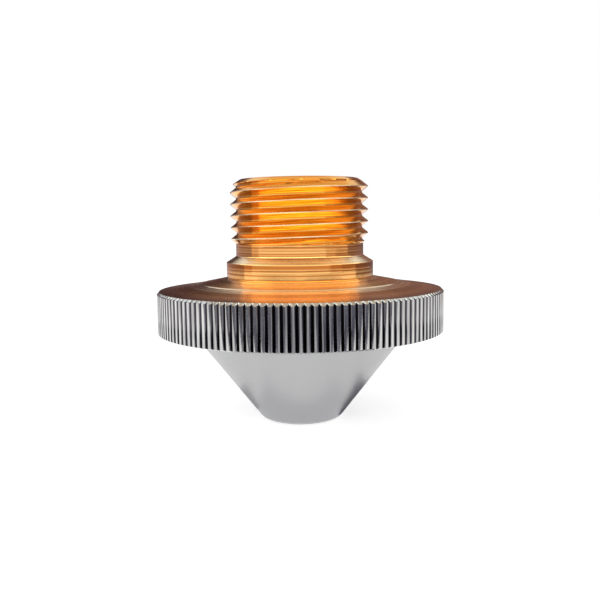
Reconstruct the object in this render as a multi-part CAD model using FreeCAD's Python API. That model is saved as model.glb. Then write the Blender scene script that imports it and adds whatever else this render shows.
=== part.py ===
# Double laser cutting nozzle: a turned copper body and the core pressed into it.
# Millimetres, +Z up along the nozzle's axis, origin at the centre of the tip's flat face.
# The nozzle stands on its tip, the way round in which it hangs over the work.

import FreeCAD
import Part

import math
import os

# Tip and cone of the body, from the tip's face up to the underside of the rim
tip_radius = 3.4
tip_edge_round = 1.05
cone_height = 7.85
underside_fillet = 2.5

# Knurled rim, by which the nozzle is turned
rim_radius = 12.5
rim_height = 3.7
rim_ledge = 3.0
rim_lower_chamfer = 0.3
tooth_count = 140
tooth_depth = 0.2
tooth_crest_share = 0.4
tooth_bevel = 0.15
rim_land = 0.15

# Shallow cone on top of the rim, in two zones with a small step between them
flange_rise = 0.52
seat_step = 0.07
seat_width = 2.18
seat_rise = 0.44

# Thread of the neck and what stands below it
thread_radius = 6.0
thread_length = 5.55
thread_runout = 0.3
top_chamfer_width = 0.87
top_chamfer_height = 0.55
relief_depth = 0.42
relief_height = 1.05
collar_step = 0.43
collar_height = 1.34
collar_bevel = 0.53
collar_edge = 0.12

# Hollow of the body, from the neck's mouth down to the outlet in the tip
neck_wall = 1.5
mouth_chamfer = 0.15
core_ledge = 0.6
core_seat_height = 10.2
chamber_cone_height = 5.9
outlet_radius = 1.75
outlet_land = 0.9

# Core pressed into the neck's bore
core_head_height = 3.0
core_head_chamfer = 0.2
core_root_radius = 2.6
core_tip_radius = 1.3
core_recess = 1.0
orifice_radius = 0.9
orifice_land = 1.7
funnel_radius = 2.3
gas_hole_count = 8
gas_hole_radius = 0.45

# Heights of the body's features over the tip's face
rim_top = cone_height + rim_height
flange_top = rim_top + flange_rise
seat_edge = flange_top + seat_step
collar_foot = seat_edge + seat_rise
collar_top = collar_foot + collar_height
relief_foot = collar_top + collar_bevel
thread_foot = relief_foot + relief_height
neck_top = thread_foot + thread_length

# Radii that follow from the thread and the rim
cone_top_radius = rim_radius - rim_ledge
rim_foot_radius = rim_radius - rim_lower_chamfer
tooth_root_radius = rim_radius - tooth_depth
relief_radius = thread_radius - relief_depth
collar_radius = thread_radius + collar_step
seat_radius = collar_radius + seat_width
bore_radius = thread_radius - neck_wall
chamber_radius = bore_radius - core_ledge
gas_circle_radius = (chamber_radius + core_root_radius) / 2

# How far the tools that cut the hollow run past the body's two ends
cut_margin = 1.0


def corner_arc(before, corner, after, radius):
    """Gives the arc that rounds a corner, and the points where it starts and ends."""
    to_before = (before - corner).normalize()
    to_after = (after - corner).normalize()
    half_angle = to_before.getAngle(to_after) / 2
    reach = radius / math.tan(half_angle)
    start = corner + to_before * reach
    end = corner + to_after * reach
    bisector = (to_before + to_after).normalize()
    centre = corner + bisector * (radius / math.sin(half_angle))
    middle = centre - bisector * radius
    return Part.Arc(start, middle, end).toShape(), start, end


def turned(corners):
    """Turns a closed half section, given as (radius, height) or (radius, height, rounding)."""
    points = [FreeCAD.Vector(corner[0], 0, corner[1]) for corner in corners]
    edges = []
    starts = []
    ends = []
    for index, corner in enumerate(corners):
        point = points[index]
        if len(corner) == 3:
            after = points[(index + 1) % len(points)]
            arc, start, end = corner_arc(points[index - 1], point, after, corner[2])
            edges.append(arc)
        else:
            start = end = point
        starts.append(start)
        ends.append(end)
    for index in range(len(corners)):
        next_start = starts[(index + 1) % len(corners)]
        edges.append(Part.LineSegment(ends[index], next_start).toShape())
    section = Part.Face(Part.Wire(Part.__sortEdges__(edges)))
    return section.revolve(FreeCAD.Vector(0, 0, 0), FreeCAD.Vector(0, 0, 1), 360)


def rim_point(radius, angle, height):
    """Gives the point of the rim at a radius, an angle and a height."""
    return FreeCAD.Vector(radius * math.cos(angle), radius * math.sin(angle), height)


def flat_face(*points):
    """Gives the flat face inside a closed polygon."""
    return Part.Face(Part.makePolygon([*points, points[0]]))


def knurled_band():
    """The rim as a disc with straight teeth: flat crests, V grooves, and a bevel at both ends of each."""
    pitch_angle = 2 * math.pi / tooth_count
    crest_angle = pitch_angle * tooth_crest_share
    lower_crest = cone_height + rim_lower_chamfer
    lower_root = lower_crest - tooth_depth
    upper_crest = rim_top - tooth_bevel
    faces = []
    foot_outline = []
    top_outline = []
    for tooth in range(tooth_count):
        middle = tooth * pitch_angle
        roots = (middle - pitch_angle / 2, middle + pitch_angle / 2)
        crests = (middle - crest_angle / 2, middle + crest_angle / 2)
        foot = [rim_point(rim_foot_radius, angle, cone_height) for angle in roots]
        low_root = [rim_point(tooth_root_radius, angle, lower_root) for angle in roots]
        low_crest = [rim_point(rim_radius, angle, lower_crest) for angle in crests]
        high_crest = [rim_point(rim_radius, angle, upper_crest) for angle in crests]
        high_root = [rim_point(tooth_root_radius, angle, rim_top) for angle in roots]
        faces.append(flat_face(foot[0], foot[1], low_root[1], low_root[0]))
        faces.append(flat_face(low_root[0], low_root[1], low_crest[1], low_crest[0]))
        faces.append(flat_face(low_crest[0], low_crest[1], high_crest[1], high_crest[0]))
        faces.append(flat_face(high_crest[0], high_crest[1], high_root[1], high_root[0]))
        faces.append(flat_face(low_root[0], low_crest[0], high_crest[0], high_root[0]))
        faces.append(flat_face(low_crest[1], low_root[1], high_root[1], high_crest[1]))
        foot_outline.append(foot[0])
        top_outline.append(high_root[0])
    faces.append(flat_face(*reversed(foot_outline)))
    faces.append(flat_face(*top_outline))
    shell = Part.makeShell(faces)
    shell.sewShape()
    return Part.makeSolid(shell)


def turned_outside():
    """The outside of the body as it comes off the lathe, with no hollow and no teeth yet."""
    return turned(
        [
            (0, 0),
            (tip_radius, 0, tip_edge_round),
            (cone_top_radius, cone_height, underside_fillet),
            (rim_foot_radius - rim_land, cone_height),
            (tooth_root_radius - rim_land, rim_top),
            (seat_radius + seat_step, flange_top),
            (seat_radius, seat_edge),
            (collar_radius - collar_edge, collar_foot),
            (collar_radius, collar_foot + collar_edge),
            (collar_radius, collar_top),
            (relief_radius, relief_foot),
            (relief_radius, thread_foot),
            (thread_radius, thread_foot + thread_runout),
            (thread_radius, neck_top - top_chamfer_height),
            (thread_radius - top_chamfer_width, neck_top),
            (0, neck_top),
        ]
    )


def hollow():
    """What is bored out of the body: the mouth, the core's seat, the gas chamber and the outlet."""
    return turned(
        [
            (0, -cut_margin),
            (outlet_radius, -cut_margin),
            (outlet_radius, outlet_land),
            (chamber_radius, chamber_cone_height),
            (chamber_radius, core_seat_height),
            (bore_radius, core_seat_height),
            (bore_radius, neck_top - mouth_chamfer),
            (bore_radius + mouth_chamfer + cut_margin, neck_top + cut_margin),
            (0, neck_top + cut_margin),
        ]
    )


def nozzle_body():
    """The outer body: turned outside, knurled rim and bored hollow."""
    return turned_outside().fuse(knurled_band()).cut(hollow()).removeSplitter()


def inner_core():
    """The core: a head pressed into the bore, a slender funnel and a ring of gas holes."""
    head_top = core_seat_height + core_head_height
    core = turned(
        [
            (orifice_radius, core_recess),
            (core_tip_radius, core_recess),
            (core_root_radius, core_seat_height),
            (bore_radius, core_seat_height),
            (bore_radius, head_top - core_head_chamfer),
            (bore_radius - core_head_chamfer, head_top),
            (funnel_radius, head_top),
            (orifice_radius, core_recess + orifice_land),
        ]
    )
    for hole in range(gas_hole_count):
        angle = 2 * math.pi * hole / gas_hole_count
        foot = FreeCAD.Vector(
            gas_circle_radius * math.cos(angle),
            gas_circle_radius * math.sin(angle),
            core_seat_height,
        )
        core = core.cut(Part.makeCylinder(gas_hole_radius, core_head_height, foot))
    return core


def write_part(name, shape):
    """Writes one piece as its own file and prints what it holds."""
    shape.exportStep(os.path.join("parts", name + ".step"))
    box = shape.BoundBox
    print(name, "solids", len(shape.Solids), "valid", shape.isValid())
    print("  volume mm3", round(shape.Volume, 2), "from", round(box.ZMin, 3), "to", round(box.ZMax, 3))


os.makedirs("parts", exist_ok=True)
write_part("nozzle_body", nozzle_body())
write_part("inner_core", inner_core())
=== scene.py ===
# Double laser cutting nozzle: the looks of the turned copper body, its plated rim and cone, and its core.
# Sizes are in millimetres and become metres only where a mesh is made. The floor's width and the lamps'
# sizes and places are in metres.

import math

import bmesh
import bpy
from mathutils import Matrix, Vector


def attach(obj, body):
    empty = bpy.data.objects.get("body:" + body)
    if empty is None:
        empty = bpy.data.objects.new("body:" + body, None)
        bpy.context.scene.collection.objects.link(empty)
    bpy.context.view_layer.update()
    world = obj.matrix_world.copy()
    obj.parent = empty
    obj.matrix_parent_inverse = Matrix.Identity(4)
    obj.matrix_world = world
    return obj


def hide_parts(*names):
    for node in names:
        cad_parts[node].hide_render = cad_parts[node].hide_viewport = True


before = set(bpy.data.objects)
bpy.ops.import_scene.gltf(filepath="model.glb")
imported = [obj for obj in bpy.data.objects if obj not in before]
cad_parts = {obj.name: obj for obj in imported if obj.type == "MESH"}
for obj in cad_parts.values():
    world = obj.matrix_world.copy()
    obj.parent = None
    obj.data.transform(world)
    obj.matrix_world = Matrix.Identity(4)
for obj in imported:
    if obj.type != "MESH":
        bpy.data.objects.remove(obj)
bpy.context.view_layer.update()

MM = 0.001

# Tip, cone and underside
tip_radius = 3.4
tip_edge_round = 1.05
cone_height = 7.85
cone_top_radius = 9.5
underside_fillet = 2.5

# Knurled rim
rim_radius = 12.5
rim_top = 11.55
rim_lower_chamfer = 0.3
rim_chamfer_height = 0.12
tooth_count = 140
tooth_depth = 0.2
tooth_bevel = 0.22
rim_land = 0.15

# Roundings of the body's turned edges
outlet_round = 0.08
rim_foot_round = 0.05
step_round = 0.04
collar_round = 0.08
relief_round = 0.12
neck_round = 0.05

# Flange top, collar and relief groove
flange_top = 12.07
seat_edge = 12.14
seat_radius = 8.61
seat_step = 0.07
collar_foot = 12.58
collar_top = 13.92
collar_radius = 6.43
collar_edge = 0.12
relief_foot = 14.45
relief_radius = 5.58

# Threaded neck: M12x1, right hand
thread_foot = 15.5
thread_radius = 6.0
thread_root_radius = 5.5
thread_pitch = 1.0
thread_crest_width = 0.08
thread_root_width = 0.12
thread_start = 13.83
thread_turns = 8
thread_steps_a_turn = 144
thread_steps_a_flank = 10
neck_core_radius = 5.44
neck_top = 21.05
top_chamfer_height = 0.55
top_chamfer_width = 0.87

# How far the thread's two ends run on under the body's surface, and how deep under it
thread_overlap = 0.05
thread_cover = 0.005

# Hollow of the body
outlet_radius = 1.75
outlet_land = 0.9
chamber_radius = 3.9
chamber_cone_height = 5.9
core_seat_height = 10.2
bore_radius = 4.5
mouth_chamfer = 0.15

# Painted highlight and painted shade on the flange, by their radius: the cream rings are painted
# highlights, the darker rings painted shade lines
painted_light_bands = [
    (6.80, "#FFECC4"),
    (7.15, "#D8A870"),
    (7.50, "#EEC084"),
    (8.10, "#ECBC80"),
    (8.45, "#D0A068"),
    (8.68, "#FFF4DC"),
    (9.30, "#FFF2D8"),
    (9.60, "#FCE0BC"),
    (9.95, "#C08A54"),
    (10.40, "#C48E58"),
    (10.80, "#E2AC7C"),
    (11.50, "#C29070"),
]

# How closely two heights or radii have to agree to count as the same, and how sharp an edge stays sharp
same_place = 0.001
sharp_edge_degrees = 35

# A finishing cut feeds about 0.05 mm a turn, too fine to show here, so its lines are drawn coarser
turned_line = 0.13
threaded_line = 0.10
faced_line = 0.12
satin_line = 0.12

# Size of the faint patches in which handling has dulled the copper, and of the streaks in the plate
dull_patch = 3.0
plate_streak = 0.35

# Studio: the floor's width in metres and its glow, the room's own light and the white that mirrors show
floor_width = 8
floor_glow = 0.55
room_light = 0.6
room_white = 1.0
screen_sides = 96

# Order of the finishes among the body's material slots
TURNED = 0
PLATED = 1
SATIN = 2
FACED_PAINTED_LIGHT = 3
THREADED = 4

# How finely the body is turned: each tooth of the rim spans eight columns of its mesh
columns_per_tooth = 8
columns = tooth_count * columns_per_tooth

# Share of the groove's depth at each column, counted from the middle of the tooth to the groove
groove_shares = {2: 0.06, 3: 0.55, 4: 1.0}


def corner_points(before, corner, after, radius, segments):
    """Gives the points of the arc that rounds a corner of an outline."""
    to_before = (before - corner).normalized()
    to_after = (after - corner).normalized()
    half_angle = to_before.angle(to_after) / 2
    reach = radius / math.tan(half_angle)
    bisector = (to_before + to_after).normalized()
    centre = corner + bisector * (radius / math.sin(half_angle))
    start = corner + to_before * reach - centre
    end = corner + to_after * reach - centre
    turn = math.pi - 2 * half_angle
    points = []
    for step in range(segments + 1):
        share = step / segments
        first = math.sin((1 - share) * turn)
        second = math.sin(share * turn)
        points.append(centre + (start * first + end * second) / math.sin(turn))
    return points


def outline_points(corners):
    """Gives the outline through corners of (radius, height) or (radius, height, rounding, segments)."""
    spots = [Vector((corner[0], corner[1])) for corner in corners]
    points = []
    for index, corner in enumerate(corners):
        if len(corner) == 4:
            before = spots[index - 1]
            after = spots[(index + 1) % len(spots)]
            points.extend(corner_points(before, spots[index], after, corner[2], corner[3]))
        else:
            points.append(spots[index])
    return points


def wire(name, points, closed):
    """Draws a half section in the plane of X and Z as a wire."""
    mesh = bpy.data.meshes.new(name)
    edges = [(index, index + 1) for index in range(len(points) - 1)]
    if closed:
        edges.append((len(points) - 1, 0))
    mesh.from_pydata([(point.x * MM, 0, point.y * MM) for point in points], edges, [])
    piece = bpy.data.objects.new(name, mesh)
    bpy.context.scene.collection.objects.link(piece)
    bpy.ops.object.select_all(action="DESELECT")
    piece.select_set(True)
    bpy.context.view_layer.objects.active = piece
    return piece


def turned(name, corners, steps):
    """Turns a closed half section about the axis."""
    piece = wire(name, outline_points(corners), closed=True)
    bpy.ops.object.mode_set(mode="EDIT")
    bpy.ops.mesh.select_all(action="SELECT")
    bpy.ops.mesh.spin(steps=steps, angle=2 * math.pi, center=(0, 0, 0), axis=(0, 0, 1))
    bpy.ops.mesh.select_all(action="SELECT")
    bpy.ops.mesh.remove_doubles(threshold=same_place * MM)
    bpy.ops.mesh.normals_make_consistent(inside=False)
    bpy.ops.object.mode_set(mode="OBJECT")
    return piece


def select_column_ring(piece, wanted_column, ring_height, limit):
    """Selects a ring's points in one kind of column, where they stand outside a radius."""
    mesh = bmesh.from_edit_mesh(piece.data)
    for vertex in mesh.verts:
        radius = math.hypot(vertex.co.x, vertex.co.y) / MM
        height = vertex.co.z / MM
        column = round(math.atan2(vertex.co.y, vertex.co.x) * columns / (2 * math.pi))
        offset = column % columns_per_tooth
        from_crest = min(offset, columns_per_tooth - offset)
        on_ring = abs(height - ring_height) < same_place
        vertex.select = on_ring and radius > limit + same_place / 10 and from_crest == wanted_column
    mesh.select_flush(True)
    bmesh.update_edit_mesh(piece.data)


def knurl(piece, ring_heights):
    """Presses straight V grooves into the rim, one ring and one kind of column at a time."""
    bpy.ops.object.mode_set(mode="EDIT")
    bpy.ops.mesh.select_mode(type="VERT")
    for ring_radius, ring_height in ring_heights:
        for from_crest, share in groove_shares.items():
            limit = rim_radius - tooth_depth * share
            if ring_radius <= limit:
                continue
            select_column_ring(piece, from_crest, ring_height, limit)
            factor = limit / ring_radius
            bpy.ops.transform.resize(value=(factor, factor, 1), center_override=(0, 0, 0))
    bpy.ops.object.mode_set(mode="OBJECT")
    # Each point's depth in its groove, which the plate's painted shade reads
    depth = piece.data.attributes.new("groove_depth", "FLOAT", "POINT")
    for index, vertex in enumerate(piece.data.vertices):
        radius = math.hypot(vertex.co.x, vertex.co.y) / MM
        for ring_radius, ring_height in ring_heights:
            at_ring = abs(vertex.co.z / MM - ring_height) < same_place
            if at_ring and radius > rim_radius - tooth_depth - same_place:
                depth.data[index].value = (ring_radius - radius) / tooth_depth


def core_top():
    """The height at which the neck's chamfer is as wide as the thread's root."""
    chamfer_slope = top_chamfer_height / top_chamfer_width
    return neck_top - (thread_root_radius - thread_radius + top_chamfer_width) * chamfer_slope


def body_corners():
    """The half section of the body, with the neck turned down to a core that the thread covers."""
    return [
        (outlet_radius, 0, outlet_round, 2),
        (tip_radius, 0, tip_edge_round, 7),
        (cone_top_radius, cone_height, underside_fillet, 8),
        (rim_radius - rim_lower_chamfer, cone_height, rim_foot_round, 2),
        (rim_radius - 2 * rim_lower_chamfer / 3, cone_height + rim_chamfer_height / 3),
        (rim_radius - rim_lower_chamfer / 3, cone_height + 2 * rim_chamfer_height / 3),
        (rim_radius, cone_height + rim_chamfer_height),
        (rim_radius, rim_top - tooth_bevel),
        (rim_radius - tooth_depth / 2, rim_top - tooth_bevel / 2),
        (rim_radius - tooth_depth, rim_top),
        (rim_radius - tooth_depth - rim_land, rim_top),
        (seat_radius + seat_step, flange_top, step_round, 2),
        (seat_radius, seat_edge, step_round, 2),
        (collar_radius - collar_edge, collar_foot),
        (collar_radius, collar_foot + collar_edge),
        (collar_radius, collar_top, collar_round, 3),
        (relief_radius, relief_foot, relief_round, 3),
        (relief_radius, thread_foot),
        (neck_core_radius, thread_foot + thread_overlap),
        (neck_core_radius, core_top()),
        (thread_root_radius, core_top()),
        (thread_radius - top_chamfer_width, neck_top, neck_round, 2),
        (bore_radius + mouth_chamfer, neck_top),
        (bore_radius, neck_top - mouth_chamfer),
        (bore_radius, core_seat_height),
        (chamber_radius, core_seat_height),
        (chamber_radius, chamber_cone_height),
        (outlet_radius, outlet_land),
    ]


def rim_rings():
    """The rings of the body that the knurl presses in, as (radius, height)."""
    return [
        (rim_radius - rim_lower_chamfer / 3, cone_height + 2 * rim_chamfer_height / 3),
        (rim_radius, cone_height + rim_chamfer_height),
        (rim_radius, rim_top - tooth_bevel),
        (rim_radius - tooth_depth / 2, rim_top - tooth_bevel / 2),
    ]


def envelope(height):
    """The largest radius that the turned blank leaves to the thread at a height."""
    from_foot = relief_radius + max(0, height - thread_foot)
    chamfer_slope = top_chamfer_width / top_chamfer_height
    from_top = thread_radius - top_chamfer_width + (neck_top - height) * chamfer_slope
    return min(thread_radius, from_foot - thread_cover, from_top - thread_cover)


def neck_thread():
    """The thread: one pitch of its outline, wound up the neck and trimmed by the blank's chamfers."""
    flank = (thread_pitch - thread_crest_width - thread_root_width) / 2
    points = [Vector((thread_root_radius, 0)), Vector((thread_root_radius, thread_root_width))]
    for step in range(1, thread_steps_a_flank + 1):
        share = step / thread_steps_a_flank
        radius = thread_root_radius + (thread_radius - thread_root_radius) * share
        points.append(Vector((radius, thread_root_width + flank * share)))
    for step in range(thread_steps_a_flank + 1):
        share = 1 - step / thread_steps_a_flank
        radius = thread_root_radius + (thread_radius - thread_root_radius) * share
        points.append(Vector((radius, thread_pitch - flank * share)))
    piece = wire("neck_thread", [point + Vector((0, thread_start)) for point in points], closed=False)
    winding = piece.modifiers.new("winding", "SCREW")
    winding.axis = "Z"
    winding.angle = 2 * math.pi
    winding.screw_offset = thread_pitch * MM
    winding.iterations = thread_turns
    winding.steps = thread_steps_a_turn
    winding.render_steps = thread_steps_a_turn
    bpy.ops.object.modifier_apply(modifier=winding.name)
    bpy.ops.object.mode_set(mode="EDIT")
    bpy.ops.mesh.select_all(action="SELECT")
    bpy.ops.mesh.remove_doubles(threshold=same_place * MM)
    ends = ((thread_foot - thread_overlap, True), (core_top() + thread_overlap, False))
    for height, clear_below in ends:
        bpy.ops.mesh.select_all(action="SELECT")
        bpy.ops.mesh.bisect(
            plane_co=(0, 0, height * MM),
            plane_no=(0, 0, 1),
            clear_inner=clear_below,
            clear_outer=not clear_below,
        )
    bpy.ops.mesh.select_all(action="SELECT")
    bpy.ops.mesh.normals_make_consistent(inside=False)
    bpy.ops.object.mode_set(mode="OBJECT")
    piece.data.materials.append(bpy.data.materials["threaded_copper"])
    piece.data.materials.append(bpy.data.materials["faced_copper_painted_light"])
    # The crests take the faced copper, whose pale cream there is a painted highlight along each crest
    for face in piece.data.polygons:
        if math.hypot(face.center.x, face.center.y) > (thread_radius - 10 * same_place) * MM:
            face.material_index = 1
    for vertex in piece.data.vertices:
        radius = math.hypot(vertex.co.x, vertex.co.y)
        limit = envelope(vertex.co.z / MM) * MM
        if radius > limit:
            vertex.co.x *= limit / radius
            vertex.co.y *= limit / radius
    return piece


def linear(code):
    """Turns a hex colour into linear red, green, blue and alpha."""
    channels = [int(code[place : place + 2], 16) / 255 for place in (1, 3, 5)]
    turned_channels = [c / 12.92 if c <= 0.04045 else ((c + 0.055) / 1.055) ** 2.4 for c in channels]
    return (*turned_channels, 1.0)


def add(tree, kind, settings=None, **links):
    """Adds a node, sets its properties and values, and links its inputs."""
    node = tree.nodes.new(kind)
    for name, value in (settings or {}).items():
        if hasattr(node, name):
            setattr(node, name, value)
        else:
            node.inputs[name].default_value = value
    for name, source in links.items():
        tree.links.new(source, node.inputs[name.replace("_", " ")])
    return node


def new_material(name):
    """Makes a node material with only its output."""
    material = bpy.data.materials.new(name)
    material.use_nodes = True
    tree = material.node_tree
    tree.nodes.clear()
    output = tree.nodes.new("ShaderNodeOutputMaterial")
    return material, tree, output


def lathe_coordinates(tree):
    """Gives the radius and height of a point as a vector, so that a pattern on it runs round the axis."""
    place = add(tree, "ShaderNodeTexCoord")
    parts = add(tree, "ShaderNodeSeparateXYZ", Vector=place.outputs["Object"])
    flat = add(tree, "ShaderNodeCombineXYZ", X=parts.outputs["X"], Y=parts.outputs["Y"])
    radius = add(tree, "ShaderNodeVectorMath", {"operation": "LENGTH"})
    tree.links.new(flat.outputs["Vector"], radius.inputs[0])
    spot = add(tree, "ShaderNodeCombineXYZ", X=radius.outputs["Value"], Y=parts.outputs["Z"])
    return place.outputs["Object"], spot.outputs["Vector"]


def bare_copper(name, light, dark, contrast, line_width, roughness, bump_depth):
    """Bare electrolytic copper off a lathe: bright and warm, with lines round the axis."""
    material, tree, output = new_material(name)
    place, spot = lathe_coordinates(tree)
    lines = add(
        tree,
        "ShaderNodeTexNoise",
        {"noise_dimensions": "2D", "Scale": 1 / (line_width * MM), "Detail": 2.0, "Roughness": 0.6},
        Vector=spot,
    )
    patches = add(tree, "ShaderNodeTexNoise", {"Scale": 1 / (dull_patch * MM), "Detail": 2.0}, Vector=place)
    shade = add(tree, "ShaderNodeValToRGB", Fac=lines.outputs["Fac"])
    shade.color_ramp.elements[0].position = 0.5 - contrast
    shade.color_ramp.elements[0].color = linear(dark)
    shade.color_ramp.elements[1].position = 0.5 + contrast
    shade.color_ramp.elements[1].color = linear(light)
    rough = add(
        tree,
        "ShaderNodeMapRange",
        {"To Min": 0.6 * roughness, "To Max": 1.4 * roughness},
        Value=patches.outputs["Fac"],
    )
    bump = add(tree, "ShaderNodeBump", {"Distance": bump_depth * MM}, Height=lines.outputs["Fac"])
    metal = add(
        tree,
        "ShaderNodeBsdfPrincipled",
        {"Metallic": 1.0},
        Base_Color=shade.outputs["Color"],
        Roughness=rough.outputs["Result"],
        Normal=bump.outputs["Normal"],
    )
    tree.links.new(metal.outputs["BSDF"], output.inputs["Surface"])
    return material


def faced_copper_painted_light():
    """Bare copper faced across on a lathe, with its fine cut lines, and painted highlight and painted shade
    in bands by radius; its turning draws highlights out across the lines.
    """
    material, tree, output = new_material("faced_copper_painted_light")
    place, spot = lathe_coordinates(tree)
    parts = add(tree, "ShaderNodeSeparateXYZ", Vector=spot)
    share = add(
        tree,
        "ShaderNodeMapRange",
        {"From Min": collar_radius * MM, "From Max": rim_radius * MM},
        Value=parts.outputs["X"],
    )
    bands = add(tree, "ShaderNodeValToRGB", Fac=share.outputs["Result"])
    # Inside the collar's radius, on the collar's upper bevel and the thread's crests, the copper is a pale
    # cream: a painted highlight. At the rim it ends in a darker brown, painted shade.
    bands.color_ramp.elements[0].color = linear("#FFF0CC")
    bands.color_ramp.elements[1].color = linear("#98765E")
    # Painted highlight and painted shade rings between the collar and the rim
    for radius, code in painted_light_bands:
        stop = (radius - collar_radius) / (rim_radius - collar_radius)
        bands.color_ramp.elements.new(stop).color = linear(code)
    lines = add(
        tree,
        "ShaderNodeTexNoise",
        {"noise_dimensions": "2D", "Scale": 1 / (faced_line * MM), "Detail": 2.0, "Roughness": 0.6},
        Vector=spot,
    )
    cut = add(tree, "ShaderNodeValToRGB", Fac=lines.outputs["Fac"])
    cut.color_ramp.elements[0].position = 0.38
    cut.color_ramp.elements[0].color = linear("#CCA488")
    cut.color_ramp.elements[1].position = 0.58
    cut.color_ramp.elements[1].color = linear("#FFFFFF")
    tone = add(tree, "ShaderNodeVectorMath", {"operation": "MULTIPLY"})
    tree.links.new(bands.outputs["Color"], tone.inputs[0])
    tree.links.new(cut.outputs["Color"], tone.inputs[1])
    patches = add(tree, "ShaderNodeTexNoise", {"Scale": 1 / (dull_patch * MM), "Detail": 2.0}, Vector=place)
    rough = add(tree, "ShaderNodeMapRange", {"To Min": 0.20, "To Max": 0.30}, Value=patches.outputs["Fac"])
    round_axis = add(tree, "ShaderNodeTangent", {"direction_type": "RADIAL", "axis": "Z"})
    metal = add(
        tree,
        "ShaderNodeBsdfPrincipled",
        {"Metallic": 1.0, "Anisotropic": 0.85, "Anisotropic Rotation": 0.25},
        Base_Color=tone.outputs["Vector"],
        Roughness=rough.outputs["Result"],
        Tangent=round_axis.outputs["Tangent"],
    )
    tree.links.new(metal.outputs["BSDF"], output.inputs["Surface"])
    return material


def plated_rim():
    """Chrome plate over the pressed knurl: bright mirror crests, and painted shade darkening down the
    flanks into the grooves.
    """
    material, tree, output = new_material("bright_plate")
    place = add(tree, "ShaderNodeTexCoord").outputs["Object"]
    depth = add(tree, "ShaderNodeAttribute", {"attribute_name": "groove_depth"})
    # Painted shade: the plate is painted darker the deeper a point lies in its groove
    tone = add(tree, "ShaderNodeValToRGB", Fac=depth.outputs["Fac"])
    tone.color_ramp.elements[0].position = 0.0
    tone.color_ramp.elements[0].color = linear("#DADAD8")
    tone.color_ramp.elements[1].position = 0.45
    tone.color_ramp.elements[1].color = linear("#4E4A52")
    tone.color_ramp.elements.new(0.16).color = linear("#7E7A80")
    stretched = add(tree, "ShaderNodeMapping", {"Scale": (1, 1, 0.12)}, Vector=place)
    streaks = add(
        tree,
        "ShaderNodeTexNoise",
        {"Scale": 1 / (plate_streak * MM), "Detail": 3.0},
        Vector=stretched.outputs["Vector"],
    )
    worn = add(
        tree,
        "ShaderNodeMapRange",
        {"From Min": 0.3, "From Max": 0.7, "To Min": 0.55, "To Max": 1.0},
        Value=streaks.outputs["Fac"],
    )
    mixed = add(tree, "ShaderNodeVectorMath", {"operation": "SCALE"}, Scale=worn.outputs["Result"])
    tree.links.new(tone.outputs["Color"], mixed.inputs[0])
    rough = add(tree, "ShaderNodeMapRange", {"To Min": 0.04, "To Max": 0.14}, Value=streaks.outputs["Fac"])
    metal = add(
        tree,
        "ShaderNodeBsdfPrincipled",
        {"Metallic": 1.0},
        Base_Color=mixed.outputs["Vector"],
        Roughness=rough.outputs["Result"],
    )
    tree.links.new(metal.outputs["BSDF"], output.inputs["Surface"])
    return material


def satin_plate():
    """The same chrome plate over the finely turned cone: its fine lines leave it satin."""
    material, tree, output = new_material("satin_plate")
    spot = lathe_coordinates(tree)[1]
    lines = add(
        tree,
        "ShaderNodeTexNoise",
        {"noise_dimensions": "2D", "Scale": 1 / (satin_line * MM), "Detail": 2.0},
        Vector=spot,
    )
    rough = add(tree, "ShaderNodeMapRange", {"To Min": 0.34, "To Max": 0.44}, Value=lines.outputs["Fac"])
    bump = add(
        tree,
        "ShaderNodeBump",
        {"Strength": 0.08, "Distance": 0.01 * MM},
        Height=lines.outputs["Fac"],
    )
    metal = add(
        tree,
        "ShaderNodeBsdfPrincipled",
        {"Metallic": 1.0, "Base Color": linear("#B8B8B9")},
        Roughness=rough.outputs["Result"],
        Normal=bump.outputs["Normal"],
    )
    tree.links.new(metal.outputs["BSDF"], output.inputs["Surface"])
    return material


def paint_body(piece):
    """Gives each face of the body its finish by its place."""
    turned_copper = bare_copper("turned_copper", "#FFC67A", "#CE7C3A", 0.08, turned_line, 0.10, 0.01)
    threaded_copper = bare_copper("threaded_copper", "#FABE5C", "#DC8C34", 0.12, threaded_line, 0.13, 0.002)
    piece.data.materials.append(turned_copper)
    piece.data.materials.append(plated_rim())
    piece.data.materials.append(satin_plate())
    piece.data.materials.append(faced_copper_painted_light())
    piece.data.materials.append(threaded_copper)
    for face in piece.data.polygons:
        centre = face.center / MM
        radius = math.hypot(centre.x, centre.y)
        outside = radius > cone_top_radius or centre.z < cone_height
        inwards = face.normal.dot(Vector((centre.x, centre.y, 0))) < 0
        hollow = radius < chamber_radius + 10 * same_place and inwards
        # The flange top, the rim's land and the collar's upper bevel take the faced copper with its painted
        # highlight and painted shade bands
        faced_painted_light = rim_top - same_place < centre.z < collar_foot or collar_top < centre.z < relief_foot
        if not hollow and faced_painted_light:
            face.material_index = FACED_PAINTED_LIGHT
        elif not hollow and centre.z > thread_foot:
            face.material_index = THREADED
        elif hollow or centre.z > rim_top or not outside:
            face.material_index = TURNED
        elif centre.z > cone_height + 10 * same_place and radius > cone_top_radius:
            face.material_index = PLATED
        else:
            face.material_index = SATIN


def nozzle_body():
    """The body and its thread, as one piece."""
    body = turned("body", body_corners(), columns)
    knurl(body, rim_rings())
    paint_body(body)
    thread = neck_thread()
    bpy.ops.object.select_all(action="DESELECT")
    thread.select_set(True)
    body.select_set(True)
    bpy.context.view_layer.objects.active = body
    bpy.ops.object.join()
    bpy.ops.object.shade_smooth_by_angle(angle=math.radians(sharp_edge_degrees))
    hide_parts("nozzle_body")
    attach(body, "root")


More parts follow.
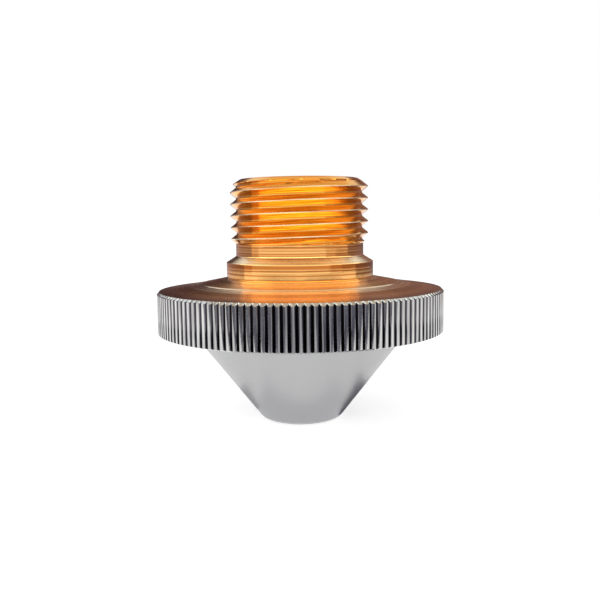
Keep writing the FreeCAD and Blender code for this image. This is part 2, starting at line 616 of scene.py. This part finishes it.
def background_share(tree):
    """Gives 1 to the rays that see the plain white background: the camera's, mirrored and passing ones."""
    ray = add(tree, "ShaderNodeLightPath")
    seen = add(tree, "ShaderNodeMath", {"operation": "MAXIMUM"})
    tree.links.new(ray.outputs["Is Camera Ray"], seen.inputs[0])
    tree.links.new(ray.outputs["Is Glossy Ray"], seen.inputs[1])
    both = add(tree, "ShaderNodeMath", {"operation": "MAXIMUM"})
    tree.links.new(seen.outputs["Value"], both.inputs[0])
    tree.links.new(ray.outputs["Is Transmission Ray"], both.inputs[1])
    return both.outputs["Value"]


def floor():
    """A plain white floor under the nozzle. It keeps the nozzle's shadow."""
    bpy.ops.object.select_all(action="DESELECT")
    bpy.ops.mesh.primitive_plane_add(size=floor_width)
    piece = bpy.context.object
    piece.name = "floor"
    material, tree, output = new_material("floor_white")
    matte = add(tree, "ShaderNodeBsdfDiffuse", {"Color": linear("#F4F4F4")})
    glow_strength = add(tree, "ShaderNodeMath", {"operation": "MULTIPLY"})
    glow_strength.inputs[1].default_value = floor_glow
    tree.links.new(background_share(tree), glow_strength.inputs[0])
    glow = add(
        tree,
        "ShaderNodeEmission",
        {"Color": linear("#FFFFFF")},
        Strength=glow_strength.outputs["Value"],
    )
    both = add(tree, "ShaderNodeAddShader")
    tree.links.new(matte.outputs["BSDF"], both.inputs[0])
    tree.links.new(glow.outputs["Emission"], both.inputs[1])
    tree.links.new(both.outputs["Shader"], output.inputs["Surface"])
    piece.data.materials.append(material)


def white_world():
    """A white room: camera and mirror rays see plain white, and the room's own light is soft."""
    world = bpy.data.worlds.new("room")
    world.use_nodes = True
    tree = world.node_tree
    tree.nodes.clear()
    output = tree.nodes.new("ShaderNodeOutputWorld")
    soft = add(tree, "ShaderNodeBackground", {"Color": linear("#FFFFFF"), "Strength": room_light})
    white = add(tree, "ShaderNodeBackground", {"Color": linear("#FFFFFF"), "Strength": room_white})
    mix = add(tree, "ShaderNodeMixShader", Fac=background_share(tree))
    tree.links.new(soft.outputs["Background"], mix.inputs[1])
    tree.links.new(white.outputs["Background"], mix.inputs[2])
    tree.links.new(mix.outputs["Shader"], output.inputs["Surface"])
    bpy.context.scene.world = world


def card_material(name, stops, low, high, strength=1.0):
    """A card's own shade, from one height in the studio to another."""
    material, tree, output = new_material(name)
    place = add(tree, "ShaderNodeTexCoord")
    parts = add(tree, "ShaderNodeSeparateXYZ", Vector=place.outputs["Object"])
    share = add(
        tree,
        "ShaderNodeMapRange",
        {"From Min": low * MM, "From Max": high * MM},
        Value=parts.outputs["Z"],
    )
    shade = add(tree, "ShaderNodeValToRGB", Fac=share.outputs["Result"])
    shade.color_ramp.elements.remove(shade.color_ramp.elements[1])
    shade.color_ramp.elements[0].position = stops[0][0]
    shade.color_ramp.elements[0].color = linear(stops[0][1])
    for position, code in stops[1:]:
        shade.color_ramp.elements.new(position).color = linear(code)
    glow = add(tree, "ShaderNodeEmission", {"Strength": strength}, Color=shade.outputs["Color"])
    tree.links.new(glow.outputs["Emission"], output.inputs["Surface"])
    return material


def hide_card(piece):
    """Keeps a card out of the camera's sight and off the floor, so that only metal mirrors it."""
    piece.visible_camera = False
    piece.visible_diffuse = False
    piece.visible_shadow = False


def round_screen(name, radius, low, high, sides, stops, strength=1.0):
    """An upright round screen about the nozzle, in millimetres, kept on the given sides of it."""
    bpy.ops.object.select_all(action="DESELECT")
    bpy.ops.mesh.primitive_cylinder_add(
        vertices=screen_sides, radius=radius * MM, depth=(high - low) * MM, end_fill_type="NOTHING"
    )
    piece = bpy.context.object
    piece.name = name
    bpy.ops.transform.translate(value=(0, 0, (low + high) / 2 * MM))
    bpy.ops.object.transform_apply()
    bpy.ops.object.mode_set(mode="EDIT")
    for place, side in sides:
        bpy.ops.mesh.select_all(action="SELECT")
        bpy.ops.mesh.bisect(plane_co=[length * MM for length in place], plane_no=side, clear_inner=True)
    bpy.ops.object.mode_set(mode="OBJECT")
    piece.data.materials.append(card_material(name + "_cloth", stops, low, high, strength))
    hide_card(piece)


def screens():
    """Round screens that the metal mirrors: its dark flanks, its lilac edges and its bright upper light."""
    behind = ((0, 128, 0), (0, 1, 0))
    beside = ((0, 8, 0), (0, 1, 0))
    dark = [(0.0, "#6A5450"), (0.12, "#584240"), (0.5, "#443434"), (0.8, "#7A6460"), (1.0, "#C8C0BE")]
    round_screen("back_screen", 148, 14, 110, [behind], dark)
    left = [(0.0, "#D0C6CA"), (0.19, "#A89CA2"), (0.21, "#AAA4B8"), (0.7, "#8A8494"), (1.0, "#A89494")]
    right = [(0.0, "#988E94"), (0.19, "#70666C"), (0.21, "#A094A8"), (0.7, "#807486"), (1.0, "#A08C8E")]
    round_screen("left_screen", 150, 0, 70, [beside, ((0, 0, 0), (-1, 0, 0))], left)
    round_screen("right_screen", 150, 0, 70, [beside, ((0, 0, 0), (1, 0, 0))], right)
    before_left = [((0, -34, 0), (0, 1, 0)), ((0, 8, 0), (0, -1, 0)), ((0, 0, 0), (-1, 0, 0))]
    round_screen("left_fore_screen", 150, 14, 70, before_left, [(0.0, "#D8BEB4"), (1.0, "#E6D6CC")])
    before_right = [((0, -62, 0), (0, 1, 0)), ((0, 8, 0), (0, -1, 0)), ((0, 0, 0), (1, 0, 0))]
    round_screen("right_fore_screen", 150, 14, 70, before_right, [(0.0, "#B09A8E"), (1.0, "#BCA89E")])
    ahead_right = [((0, -104, 0), (0, 1, 0)), ((0, -62, 0), (0, -1, 0)), ((0, 0, 0), (1, 0, 0))]
    round_screen("right_far_screen", 150, 14, 70, ahead_right, [(0.0, "#D8C4B8"), (1.0, "#E0D0C6")])
    round_screen("light_band", 300, 100, 220, [((0, 120, 0), (0, -1, 0))], [(0.0, "#F6FFF0")], 3.3)


def card(name, place, turn, width, height, code):
    """A flat card of one shade, at a place in millimetres, leaned back and turned about the vertical."""
    bpy.ops.object.select_all(action="DESELECT")
    bpy.ops.mesh.primitive_plane_add(size=1)
    piece = bpy.context.object
    piece.name = name
    piece.scale = (width * MM, height * MM, 1)
    piece.rotation_euler = [math.radians(angle) for angle in turn]
    piece.location = [length * MM for length in place]
    bpy.ops.object.transform_apply()
    piece.data.materials.append(card_material(name + "_cloth", [(0.0, code)], 0, 1))
    hide_card(piece)


def lamp(name, place, aim, width, height, radiance):
    """A soft box, in metres: an area lamp that points at a spot, as bright as a mirror would show it."""
    data = bpy.data.lights.new(name, "AREA")
    data.shape = "RECTANGLE"
    data.size = width
    data.size_y = height
    data.energy = radiance * math.pi * width * height
    piece = bpy.data.objects.new(name, data)
    piece.location = place
    piece.rotation_euler = (Vector(aim) - Vector(place)).to_track_quat("-Z", "Y").to_euler()
    piece.visible_camera = False
    bpy.context.scene.collection.objects.link(piece)


def camera():
    """The photo's camera: close to the nozzle, looking down a little and rolled by under a degree."""
    distance = 65.0
    height_over_rim = 6.02
    pitch = 6.25
    roll = -0.75
    side_shift = -0.03
    focal_pixels = 736.8
    frame_pixels = 600
    data = bpy.data.cameras.new("camera")
    data.sensor_width = 36.0
    data.lens = data.sensor_width * focal_pixels / frame_pixels
    data.clip_start = 0.001
    data.clip_end = 20.0
    piece = bpy.data.objects.new("camera", data)
    piece.location = (side_shift * MM, -distance * MM, (rim_top + height_over_rim) * MM)
    pitched = Matrix.Rotation(math.radians(90 - pitch), 3, "X")
    rolled = Matrix.Rotation(math.radians(roll), 3, "Z")
    piece.rotation_euler = (pitched @ rolled).to_euler()
    bpy.context.scene.collection.objects.link(piece)
    bpy.context.scene.camera = piece


nozzle_body()
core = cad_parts["inner_core"]
core.data.materials.clear()
core.data.materials.append(bpy.data.materials["turned_copper"])

floor()
white_world()
screens()
card("left_mat", (-65, -95, 0.5), (0, 0, 0), 106, 100, "#70707A")
card("middle_mat", (0, -95, 0.5), (0, 0, 0), 24, 100, "#C8C8CC")
card("right_mat", (65, -95, 0.5), (0, 0, 0), 106, 100, "#686876")
card("right_card", (38, 100, 36), (90, 0, 0), 52, 44, "#8C6C5E")
# Cards on the floor that only the metal mirrors: a painted shadow of the nozzle on the floor, darkening the
# cone's sides and tip
card("right_shade", (5.6, 2.6, 0.4), (0, 0, 0), 4.8, 9.0, "#4E4C5A")
card("left_shade", (-5.8, 2.4, 0.4), (0, 0, 0), 3, 8, "#B0B0B4")
card("tip_shade", (0, -1, 0.3), (0, 0, 0), 10, 9, "#E8E8EA")
card("overhead", (0, 0, 300), (0, 0, 0), 500, 500, "#F4E2CA")
middle = (0, 0, 0.011)
lamp("left_box", (-0.30, -0.10, 0.30), middle, 0.30, 0.20, 0.8)
lamp("front_box", (0.0, -0.40, 0.25), middle, 0.50, 0.20, 0.8)
camera()
bpy.context.scene.view_settings.view_transform = "Standard"
